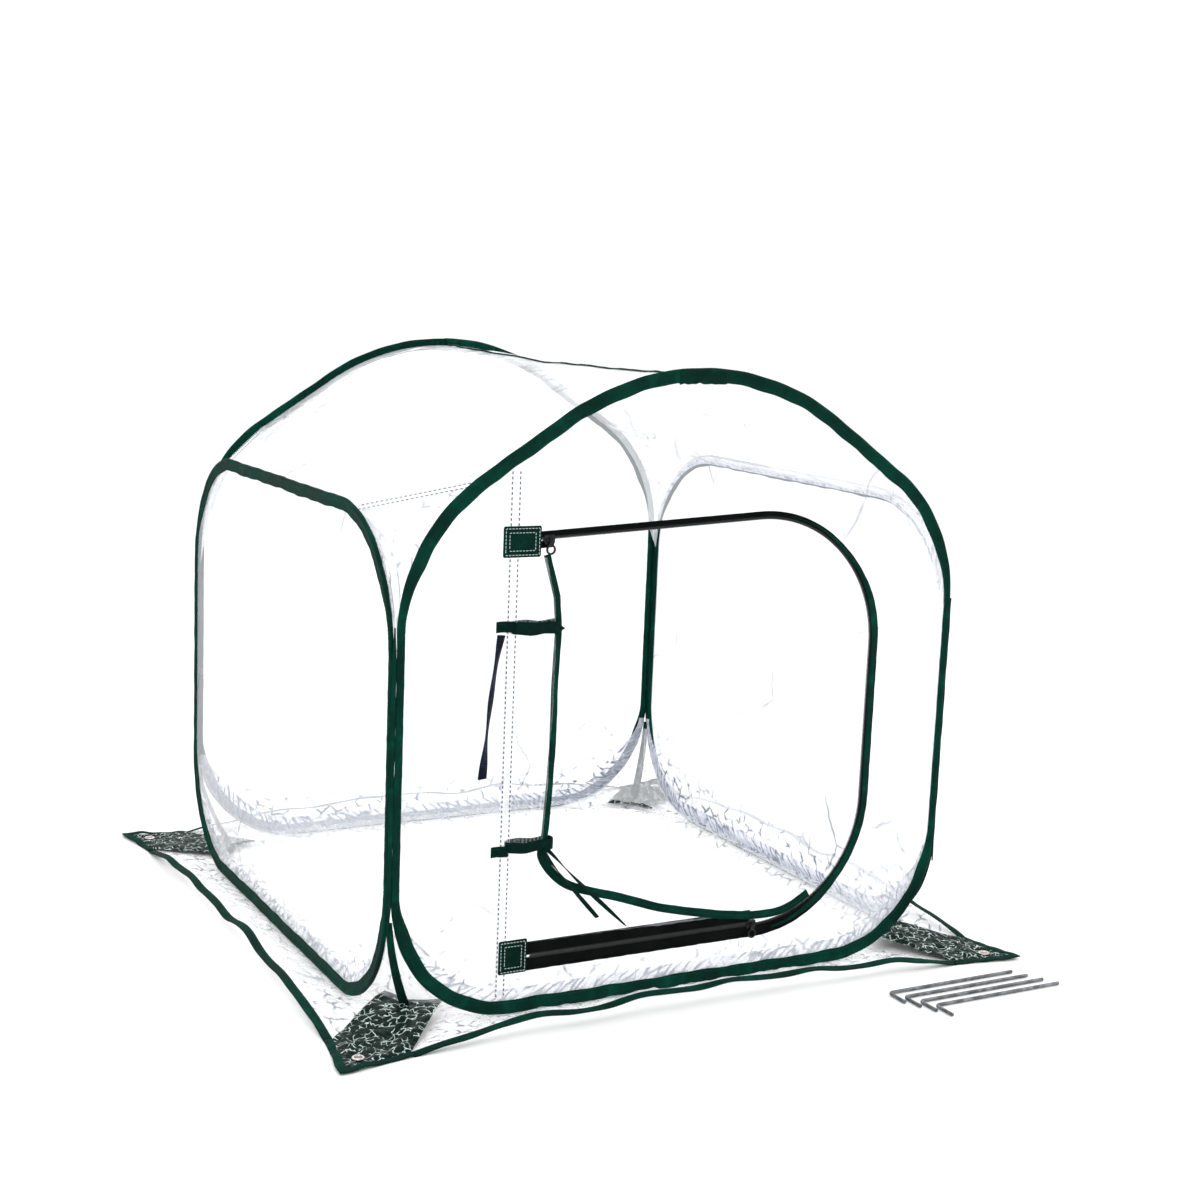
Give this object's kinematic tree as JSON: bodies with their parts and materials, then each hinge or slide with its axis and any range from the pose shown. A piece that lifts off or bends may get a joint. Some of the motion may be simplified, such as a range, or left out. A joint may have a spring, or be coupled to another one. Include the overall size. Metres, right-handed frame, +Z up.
{
  "type": "pop-up greenhouse",
  "caption": "Small cube-shaped pop-up greenhouse of clear film on sprung wire loops, with a pitched film roof, a zipped door rolled aside and a hemmed ground skirt.",
  "frame": {"origin": "centre of the floor film's underside, on the ground", "axes": "+X to the right seen from in front of the door, +Y from the door wall to the back wall, +Z up"},
  "size_m": [0.878, 0.988, 0.7024],
  "materials": {
    "clear_film": "gloss",
    "gathered_film": "gloss",
    "green_binding": "matte",
    "green_fabric": "matte",
    "spring_steel": "satin",
    "ferrule_steel": "satin",
    "woven_patch": "gloss",
    "eyelet_metal": "satin",
    "zip_tape": "matte",
    "zip_coil": "satin",
    "slider_metal": "satin",
    "stake_steel": "satin"
  },
  "bodies": {
    "front_wall": {"wire_front": "spring_steel", "wire_ferrule_front": "ferrule_steel", "binding_front": "green_binding", "film_front": "clear_film", "skirt_front": "clear_film", "hem_front": "green_binding", "zip_tape_frame": "zip_tape", "zip_coil_frame": "zip_coil", "zip_tape_door": "zip_tape", "zip_coil_door": "zip_coil", "zip_end_patch_top": "green_fabric", "zip_end_patch_bottom": "green_fabric", "door_flap_lower": "clear_film", "door_edge_binding_lower": "green_binding", "tie_upper_tail": "green_fabric", "floor_film": "clear_film", "corner_patch_front_left": "woven_patch", "corner_patch_front_right": "woven_patch", "eyelets_front": "eyelet_metal", "corner_strips_front": "green_binding", "base_gussets_front": "clear_film", "roof_film": "clear_film", "roof_gussets_front": "clear_film"},
    "left_wall": {"wire_left": "spring_steel", "wire_ferrule_left": "ferrule_steel", "binding_left": "green_binding", "film_left": "clear_film", "skirt_left": "clear_film", "hem_left": "green_binding"},
    "right_wall": {"wire_right": "spring_steel", "wire_ferrule_right": "ferrule_steel", "binding_right": "green_binding", "film_right": "clear_film", "skirt_right": "clear_film", "hem_right": "green_binding"},
    "back_wall": {"wire_back": "spring_steel", "wire_ferrule_back": "ferrule_steel", "binding_back": "green_binding", "film_back": "clear_film", "skirt_back": "clear_film", "hem_back": "green_binding", "corner_patch_back_left": "woven_patch", "corner_patch_back_right": "woven_patch", "eyelets_back": "eyelet_metal", "corner_strips_back": "green_binding", "base_gussets_back": "clear_film", "roof_gussets_back": "clear_film"},
    "door_flap": {"door_flap_gathered": "gathered_film", "door_edge_binding": "green_binding", "tie_upper": "green_fabric", "tie_lower": "green_fabric"},
    "top_slider_body": {"top_slider": "slider_metal"},
    "top_pull_body": {"top_slider_pull": "slider_metal"},
    "bottom_slider_body": {"bottom_slider": "slider_metal"},
    "bottom_pull_body": {"bottom_slider_pull": "slider_metal"},
    "stakes": {"ground_stakes": "stake_steel"}
  },
  "joints": [
    {"name": "left_fold", "type": "hinge", "parent": "front_wall", "child": "left_wall", "pos_m": [-0.3533, -0.3533, 0], "axis": [0, 0, -1], "range_deg": [0, 84], "stiffness_Nm_per_rad": 1, "deforming": ["skirt_front", "hem_front", "floor_film", "corner_patch_front_left", "corner_patch_front_right", "eyelets_front", "corner_strips_front", "base_gussets_front", "roof_film", "roof_gussets_front", "skirt_left", "hem_left", "skirt_right", "hem_right", "skirt_back", "hem_back", "corner_patch_back_left", "corner_patch_back_right", "eyelets_back", "corner_strips_back", "base_gussets_back", "roof_gussets_back"]},
    {"name": "right_fold", "type": "hinge", "parent": "front_wall", "child": "right_wall", "pos_m": [0.3533, -0.3533, 0], "axis": [0, 0, -1], "range_deg": [0, 84]},
    {"name": "back_fold", "type": "hinge", "parent": "left_wall", "child": "back_wall", "pos_m": [-0.3533, 0.3533, 0], "axis": [0, 0, 1], "range_deg": [0, 84]},
    {"name": "door_swing", "type": "hinge", "parent": "front_wall", "child": "door_flap", "pos_m": [-0.225, -0.3563, 0.3], "axis": [0, 0, -1], "range_deg": [0, 75]},
    {"name": "top_slider_run", "type": "slide", "parent": "front_wall", "child": "top_slider_body", "axis": [0.9984, 0, 0.0561], "range_m": [0, 0.255]},
    {"name": "top_pull_swing", "type": "hinge", "parent": "top_slider_body", "child": "top_pull_body", "pos_m": [-0.185, -0.3613, 0.5213], "axis": [-0.9984, 0, -0.0561], "range_deg": [0, 150]},
    {"name": "bottom_slider_run", "type": "slide", "parent": "front_wall", "child": "bottom_slider_body", "axis": [-1, 0, 0], "range_m": [0, 0.28]},
    {"name": "bottom_pull_swing", "type": "hinge", "parent": "bottom_slider_body", "child": "bottom_pull_body", "pos_m": [0.094, -0.3613, 0.064], "axis": [-1, 0, 0], "range_deg": [0, 150]},
    {"name": "stakes_lift", "type": "slide", "parent": "front_wall", "child": "stakes", "axis": [0, 0, 1], "range_m": [0, 0.1]}
  ],
  "couplings": [
    {"joint": "right_fold", "follows": "left_fold", "ratio": 1},
    {"joint": "back_fold", "follows": "left_fold", "ratio": 1}
  ]
}
